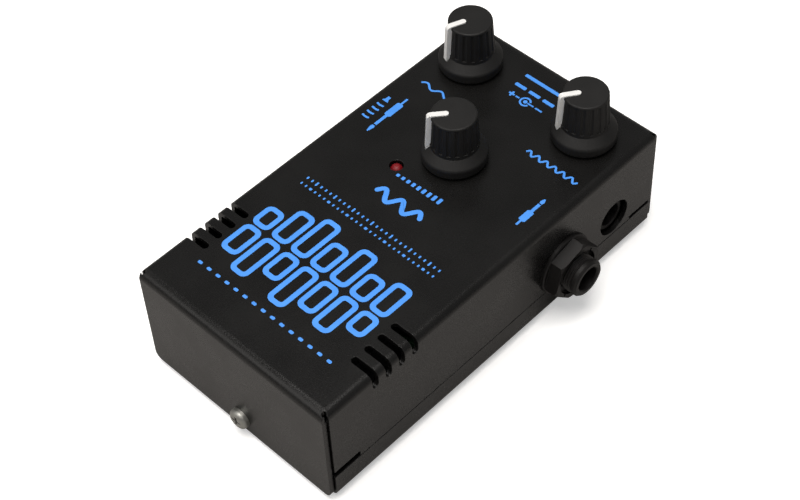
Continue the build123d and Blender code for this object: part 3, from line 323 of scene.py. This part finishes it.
FINISHES = {
    "case_paint": dict(
        dark=(0.0032, 0.0031, 0.0030),
        light=(0.0062, 0.0060, 0.0058),
        roughness=(0.25, 0.33),
        grain=0.32 * MM,
        relief=0.030 * MM,
        patch=14 * MM,
        specular=0.34,
        edge=0.25 * MM,
        worn=(0.10, 0.10, 0.10),
        wear=0.25,
    ),
    "knob_plastic": dict(
        dark=(0.0040, 0.0038, 0.0037),
        light=(0.0080, 0.0077, 0.0074),
        roughness=(0.54, 0.66),
        grain=0.20 * MM,
        relief=0.024 * MM,
        patch=5 * MM,
        specular=0.34,
        edge=0.12 * MM,
        worn=(0.03, 0.03, 0.03),
        wear=0.1,
    ),
    "pointer_plastic": dict(
        dark=(0.70, 0.70, 0.69),
        light=(0.82, 0.82, 0.81),
        roughness=(0.38, 0.46),
        grain=0.15 * MM,
        relief=0.003 * MM,
        patch=2 * MM,
        worn=(0.5, 0.49, 0.47),
        wear=0.3,
    ),
    "jack_plastic": dict(
        dark=(0.0045, 0.0040, 0.0038),
        light=(0.0085, 0.0078, 0.0075),
        roughness=(0.42, 0.54),
        grain=0.16 * MM,
        relief=0.008 * MM,
        patch=4 * MM,
        specular=0.25,
        edge=0.12 * MM,
        worn=(0.05, 0.048, 0.045),
        wear=0.2,
    ),
    "nickel_screw": dict(
        dark=(0.30, 0.30, 0.28),
        light=(0.46, 0.46, 0.43),
        roughness=(0.46, 0.58),
        grain=0.10 * MM,
        relief=0.004 * MM,
        patch=2 * MM,
        metallic=1.0,
        worn=(0.70, 0.69, 0.66),
        wear=0.4,
    ),
    "bushing_metal": dict(
        dark=(0.42, 0.42, 0.41),
        light=(0.60, 0.60, 0.58),
        roughness=(0.30, 0.42),
        grain=0.12 * MM,
        metallic=1.0,
        patch=3 * MM,
        relief=0.004 * MM,
        worn=(0.75, 0.75, 0.73),
        wear=0.4,
    ),
    "shaft_metal": dict(
        dark=(0.55, 0.55, 0.56),
        light=(0.72, 0.72, 0.72),
        roughness=(0.28, 0.40),
        grain=0.10 * MM,
        metallic=1.0,
        patch=3 * MM,
        relief=0.003 * MM,
        pattern=lathe_rings,
    ),
    "contact_metal": dict(
        dark=(0.55, 0.53, 0.48),
        light=(0.72, 0.70, 0.64),
        roughness=(0.24, 0.36),
        grain=0.10 * MM,
        metallic=1.0,
        patch=2 * MM,
        relief=0.003 * MM,
        stretch=(6, 1, 1),
    ),
    "wiper_brass": dict(
        dark=(0.62, 0.45, 0.18),
        light=(0.78, 0.60, 0.28),
        roughness=(0.26, 0.38),
        grain=0.10 * MM,
        metallic=1.0,
        patch=2 * MM,
        relief=0.003 * MM,
    ),
    "pot_plastic": dict(
        dark=(0.012, 0.012, 0.012),
        light=(0.022, 0.022, 0.022),
        roughness=(0.42, 0.52),
        grain=0.15 * MM,
        patch=4 * MM,
        relief=0.006 * MM,
    ),
    "foot_rubber": dict(
        dark=(0.010, 0.010, 0.010),
        light=(0.022, 0.022, 0.021),
        roughness=(0.72, 0.84),
        grain=0.25 * MM,
        patch=5 * MM,
        relief=0.02 * MM,
    ),
    "led_lens": dict(
        dark=(0.13, 0.003, 0.006),
        light=(0.22, 0.006, 0.010),
        roughness=(0.42, 0.52),
        grain=0.5 * MM,
        patch=1.5 * MM,
        specular=0.35,
        relief=0.001 * MM,
    ),
    "board_laminate": dict(
        dark=(0.004, 0.018, 0.008),
        light=(0.006, 0.028, 0.012),
        roughness=(0.34, 0.44),
        grain=0.35 * MM,
        patch=10 * MM,
        relief=0.010 * MM,
        pattern=copper_tracks,
    ),
    "sink_aluminium": dict(
        dark=(0.010, 0.010, 0.011),
        light=(0.022, 0.022, 0.024),
        roughness=(0.42, 0.54),
        grain=0.12 * MM,
        patch=8 * MM,
        relief=0.008 * MM,
        stretch=(1, 1, 12),
        worn=(0.25, 0.25, 0.26),
        wear=0.3,
    ),
    "pad_silicone": dict(
        dark=(0.42, 0.43, 0.42),
        light=(0.52, 0.53, 0.52),
        roughness=(0.6, 0.7),
        grain=0.3 * MM,
        patch=5 * MM,
        relief=0.01 * MM,
    ),
    "sheet_insulator": dict(
        dark=(0.030, 0.028, 0.022),
        light=(0.048, 0.045, 0.036),
        roughness=(0.55, 0.7),
        grain=0.6 * MM,
        patch=12 * MM,
        relief=0.02 * MM,
        stretch=(1, 8, 1),
    ),
    "chip_moulding": dict(
        dark=(0.010, 0.010, 0.010),
        light=(0.020, 0.020, 0.020),
        roughness=(0.5, 0.62),
        grain=0.10 * MM,
        patch=4 * MM,
        relief=0.010 * MM,
    ),
    "capacitor_sleeve": dict(
        dark=(0.010, 0.010, 0.030),
        light=(0.020, 0.020, 0.050),
        roughness=(0.18, 0.28),
        grain=0.4 * MM,
        patch=6 * MM,
        relief=0.004 * MM,
        coat=0.3,
    ),
    "film_case": dict(
        dark=(0.30, 0.035, 0.020),
        light=(0.42, 0.050, 0.030),
        roughness=(0.22, 0.34),
        grain=0.3 * MM,
        patch=4 * MM,
        relief=0.006 * MM,
        coat=0.2,
    ),
    "resistor_body": dict(
        dark=(0.12, 0.22, 0.32),
        light=(0.18, 0.30, 0.40),
        roughness=(0.3, 0.4),
        grain=0.3 * MM,
        patch=3 * MM,
        relief=0.004 * MM,
        pattern=colour_bands,
    ),
    "panel_print": dict(
        dark=(0.052, 0.255, 0.780),
        light=(0.075, 0.320, 0.880),
        roughness=(0.42, 0.52),
        grain=0.20 * MM,
        patch=3 * MM,
        relief=0.006 * MM,
        edge=0.02 * MM,
    ),
}


def dress_nodes():
    """Give each CAD node the finish of the material slot that the record names for it."""
    for part in frame["record"]["subparts"]:
        piece = frame["nodes"][part["node"]]
        finish = MATERIALS[part["material_slot"]]
        if not piece.material_slots:
            piece.data.materials.append(finish)
        for slot in piece.material_slots:
            slot.material = finish


# ---------------------------------------------------------------- printed panel art

INK_RISE = 0.03 * MM
INK_SINK = 0.02 * MM
CAP_STEPS = 8
CIRCLE_STEPS = 48


def arc(x, y, radius, start, end, steps=CAP_STEPS):
    """Points on an arc, in degrees, both ends included."""
    turns = (radians(start + (end - start) * step / steps) for step in range(steps + 1))
    return [(x + radius * cos(turn), y + radius * sin(turn)) for turn in turns]


def circle(x, y, radius):
    """Closed circle."""
    return arc(x, y, radius, 0, 360, CIRCLE_STEPS)[:-1]


def rounded_box(x, y, width, height, radius):
    """Closed rounded rectangle about its centre."""
    u, v = width / 2 - radius, height / 2 - radius
    corners = ((u, v, 0), (-u, v, 90), (-u, -v, 180), (u, -v, 270))
    return [point for du, dv, turn in corners for point in arc(x + du, y + dv, radius, turn, turn + 90)]


def ribbon(points, width):
    """Closed loop round a centre line, with round ends."""
    line = [Vector(point) for point in points]
    headings = []
    for index in range(len(line)):
        before, after = line[max(index - 1, 0)], line[min(index + 1, len(line) - 1)]
        headings.append((after - before).normalized())
    half = width / 2
    left = [point + Vector((-way.y, way.x)) * half for point, way in zip(line, headings)]
    right = [point - Vector((-way.y, way.x)) * half for point, way in zip(line, headings)]
    caps = []
    for point, way, sign in ((line[-1], headings[-1], 1), (line[0], headings[0], -1)):
        side = Vector((-way.y, way.x)) * sign
        steps = [pi * step / CAP_STEPS for step in range(1, CAP_STEPS)]
        caps.append([point + side * half * cos(turn) + way * sign * half * sin(turn) for turn in steps])
    return left + caps[0] + right[::-1] + caps[1]


def wave_line(length, height, cycles, steps=16):
    """Centre line of a sine wave about the origin."""
    count = int(cycles * steps)
    return [
        (length * (step / count - 0.5), height / 2 * sin(2 * pi * cycles * step / count))
        for step in range(count + 1)
    ]


class Ink:
    """Flat raised shapes of screen-printed ink on the panel, drawn in millimetres."""

    def __init__(self, name, x, y, turn=0):
        self.name = name
        self.mesh = bmesh.new()
        self.place = Matrix.Translation((x, y, 0)) @ Matrix.Rotation(radians(turn), 4, "Z")

    def points(self, loop, height):
        """Mesh points of a loop at a height above the panel."""
        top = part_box("top_cover")[1].z + height
        placed = [self.place @ Vector((point[0], point[1], 0)) for point in loop]
        return [self.mesh.verts.new((point.x * MM, point.y * MM, top)) for point in placed]

    def walls(self, upper, lower):
        """Side faces between two loops of points."""
        for index in range(len(upper)):
            self.mesh.faces.new((upper[index - 1], upper[index], lower[index], lower[index - 1]))

    def plate(self, loop):
        """Filled shape inside one loop."""
        upper, lower = self.points(loop, INK_RISE), self.points(loop, -INK_SINK)
        self.mesh.faces.new(upper)
        self.mesh.faces.new(lower[::-1])
        self.walls(upper, lower)

    def ring(self, outer, inner):
        """Band between an outer and an inner loop with the same number of points."""
        outer_top, outer_foot = self.points(outer, INK_RISE), self.points(outer, -INK_SINK)
        inner_top, inner_foot = self.points(inner, INK_RISE), self.points(inner, -INK_SINK)
        self.walls(outer_top, outer_foot)
        self.walls(inner_foot, inner_top)
        self.walls(inner_top, outer_top)
        self.walls(outer_foot, inner_foot)

    def finish(self):
        """Turn the drawn shapes into a piece that rides on the case."""
        bmesh.ops.recalc_face_normals(self.mesh, faces=self.mesh.faces)
        data = bpy.data.meshes.new(self.name)
        self.mesh.to_mesh(data)
        self.mesh.free()
        data.materials.append(MATERIALS["panel_print"])
        piece = bpy.data.objects.new(self.name, data)
        bpy.context.scene.collection.objects.link(piece)
        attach(piece, "case")


def node_centre(name):
    """Middle of a node's box in plan, in millimetres."""
    low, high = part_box(name)
    middle = (low + high) / 2 / MM
    return middle.x, middle.y


LABEL_HEIGHT = 1.85
LABEL_STROKE = 0.55
LABEL_DROP = 12.65


def print_volume_label():
    """Rising row of bars under the volume knob."""
    x, y = node_centre("volume_knob")
    ink = Ink("print_volume", x + 0.5, y - LABEL_DROP)
    count, pitch, width = 9, 1.6, 0.9
    for step in range(count):
        height = width + (LABEL_HEIGHT - width) * step / (count - 1)
        middle = (height - LABEL_HEIGHT) / 2
        ink.plate(rounded_box((step - (count - 1) / 2) * pitch, middle, width, height, 0.3))
    ink.finish()


def print_tone_label(name, knob, length, cycles, shift):
    """Wave under a tone knob: short waves for treble, long ones for bass."""
    x, y = node_centre(knob)
    ink = Ink(name, x + shift, y - LABEL_DROP)
    line = wave_line(length - LABEL_STROKE, LABEL_HEIGHT - LABEL_STROKE, cycles)
    ink.plate(ribbon(line, LABEL_STROKE))
    ink.finish()


def mirrored(points):
    """Closed loop of points and their reflection in the X axis."""
    return points + [(x, -y) for x, y in reversed(points)]


def print_plug(name, x, y, turn, length):
    """Quarter-inch plug seen from the side: cable, handle and shank, then its tip."""
    ink = Ink(name, x, y, turn)
    end, half, shank = length / 2, LABEL_HEIGHT / 2, 0.42
    handle, neck, ring = -end + 0.16 * length, -end + 0.52 * length, -end + 0.80 * length
    tip = ring + 0.03 * length
    body = [(-end, 0.28), (handle, 0.28), (handle, half - 0.3), (handle + 0.3, half)]
    body += [(neck - 0.3, half), (neck, half - 0.3), (neck, shank), (ring, shank)]
    ink.plate(mirrored(body))
    point = [(tip, shank), (tip + 0.35, shank), (tip + 0.6, 0.6), (end - 0.1, 0.2), (end, 0.08)]
    ink.plate(mirrored(point))
    ink.finish()


WAVE_COUNT = 4
WAVE_PITCH = 1.7
WAVE_RADIUS = 3.0
WAVE_SPREAD = 17


def print_loudspeaker():
    """Loudspeaker with sound waves, on the output jack's side."""
    ink = Ink("print_loudspeaker", -25.7, 16.75, -90)
    half = LABEL_HEIGHT / 2
    ink.plate([(-4.8, -0.45), (-3.9, -0.45), (-3.0, -half), (-3.0, half), (-3.9, 0.45), (-4.8, 0.45)])
    for step in range(WAVE_COUNT):
        middle = -4.3 + step * WAVE_PITCH
        curve = [(middle + px, py) for px, py in arc(0, 0, WAVE_RADIUS, -WAVE_SPREAD, WAVE_SPREAD)]
        ink.plate(ribbon(curve, LABEL_STROKE))
    ink.finish()


SUPPLY_PLACE = (-0.1, 45.5)
DASH_PITCH, DASH_LENGTH, DASH_WIDTH = 4.4, 3.4, 1.0
LINE_LENGTH = 2 * DASH_PITCH + DASH_LENGTH
RING_OUTER, RING_INNER, RING_DOT = 1.55, 1.05, 0.55
RING_OPENING = 24
RING_STEPS = 40


def print_supply_marks():
    """Direct-current sign over the polarity of the DC plug."""
    x, y = SUPPLY_PLACE
    ink = Ink("print_direct_current", x, y)
    ink.plate(rounded_box(0, 3.8, LINE_LENGTH, DASH_WIDTH, 0.3))
    for step in (-1, 0, 1):
        ink.plate(rounded_box(step * DASH_PITCH, 0, DASH_LENGTH, DASH_WIDTH, 0.3))
    ink.finish()
    ink = Ink("print_polarity", x, y - 3.3)
    ink.plate(rounded_box(-4.4, 0, 0.55, 1.7, 0.1))
    for side in (-1, 1):
        ink.plate(rounded_box(-4.4 + side * 0.57, 0, 0.58, 0.55, 0.1))
    ink.plate(rounded_box(-2.6, 0, 1.2, 0.45, 0.1))
    outer, inner = (
        arc(-0.1, 0, radius, RING_OPENING, 360 - RING_OPENING, RING_STEPS)
        for radius in (RING_OUTER, RING_INNER)
    )
    ink.plate(outer + inner[::-1])
    ink.plate(circle(-0.1, 0, RING_DOT))
    ink.plate(rounded_box(1.55, 0, 2.0, 0.4, 0.1))
    ink.plate(rounded_box(4.1, 0, 2.1, 0.5, 0.1))
    ink.finish()


def print_pulse_mark():
    """Bold wave between the volume label and the large graphic."""
    ink = Ink("print_pulse", -0.1, -2.1)
    stroke = 1.25
    ink.plate(ribbon(wave_line(14.8 - stroke, 4.2 - stroke, 2.5, 24), stroke))
    ink.finish()


TICK_PITCH = 1.5
TICK_WIDTH = 0.45
DOT_PITCH = 2.95
DOT_ROW = -33.2


def print_scale_rows():
    """Two fine rows of ticks above the large graphic, and a row of dots below it."""
    ink = Ink("print_scale", -0.5, -11.3)
    for step in range(-14, 15):
        long_tick = step % 4 == 0
        ink.plate(rounded_box(step * TICK_PITCH, 1.0, TICK_WIDTH, 1.3 if long_tick else 0.8, 0.2))
        ink.plate(rounded_box(step * TICK_PITCH, -1.1, 0.8 if long_tick else TICK_WIDTH, 0.7, 0.2))
    for step in range(-7, 8):
        ink.plate(rounded_box(step * DOT_PITCH, DOT_ROW, 1.3, 0.8, 0.35))
    ink.finish()


METER_RISES = (7.2, 11.0, 13.2, 9.4, 12.4, 8.4, 10.6)
METER_FALLS = (9.8, 12.8, 8.8, 13.2, 10.0, 11.6, 7.4)
METER_CORNERS = (1.8, 0.7)


def print_level_graphic():
    """Large outlined level meter: a row of bars above a centre line and its reflection below."""
    ink = Ink("print_level_graphic", -0.5, -28.75)
    stroke, pitch, width, gap = 1.3, 6.25, 5.4, 0.5
    for side, heights in ((1, METER_RISES), (-1, METER_FALLS)):
        for step, height in enumerate(heights):
            x = (step - (len(heights) - 1) / 2) * pitch
            y = side * (gap / 2 + (height - gap) / 2)
            tall = height - gap
            outer = rounded_box(x, y, width, tall, METER_CORNERS[0])
            inner = rounded_box(x, y, width - 2 * stroke, tall - 2 * stroke, METER_CORNERS[1])
            ink.ring(outer, inner)
    ink.finish()


def print_panel():
    """All of the panel's printed marks."""
    print_volume_label()
    print_tone_label("print_presence", "presence_knob", 15.8, 6, 0.9)
    print_tone_label("print_depth", "depth_knob", 9.9, 2, 0.2)
    print_plug("print_input", 24.1, 16.5, 90, 10.2)
    print_plug("print_output", -22.0, 16.85, -90, 14.1)
    print_loudspeaker()
    print_supply_marks()
    print_pulse_mark()
    print_scale_rows()
    print_level_graphic()


# ---------------------------------------------------------------- floor


def floor_paper():
    """White paper: bright to the camera, and dimmer where the case and the knobs reflect it."""
    paper = make_finish("floor_paper", PAPER_DARK, PAPER_LIGHT, (0.8, 0.9), patch=200 * MM)
    tree = paper.node_tree
    shader = next(node for node in tree.nodes if node.type == "BSDF_PRINCIPLED")
    surface = next(node for node in tree.nodes if node.type == "OUTPUT_MATERIAL").inputs["Surface"]
    seen = add_node(tree, "ShaderNodeLightPath").outputs["Is Camera Ray"]
    glow = calculate(tree, "MULTIPLY", seen, FLOOR_GLOW)
    shader.inputs["Emission Color"].default_value = rgba((1.0, 1.0, 1.0))
    tree.links.new(glow, shader.inputs["Emission Strength"])
    dim = add_node(tree, "ShaderNodeBsdfDiffuse", {"Color": rgba(FLOOR_REFLECTED)})
    mix = add_node(tree, "ShaderNodeMixShader", {0: seen, 1: dim.outputs[0], 2: shader.outputs[0]})
    tree.links.new(mix.outputs[0], surface)
    return paper


def add_floor():
    """Plain pale floor under the feet."""
    data = bpy.data.meshes.new("floor")
    half = FLOOR_SIZE / 2
    corners = [(-half, -half, 0), (half, -half, 0), (half, half, 0), (-half, half, 0)]
    data.from_pydata(corners, [], [(0, 1, 2, 3)])
    floor = bpy.data.objects.new("floor", data)
    data.materials.append(floor_paper())
    bpy.context.scene.collection.objects.link(floor)


MATERIALS = {name: make_finish(name, **values) for name, values in FINISHES.items()}
dress_nodes()
print_panel()
add_floor()
add_room()
for softbox, values in SOFTBOXES.items():
    add_softbox(softbox, *values)
add_camera()
bpy.context.scene.view_settings.view_transform = "Standard"
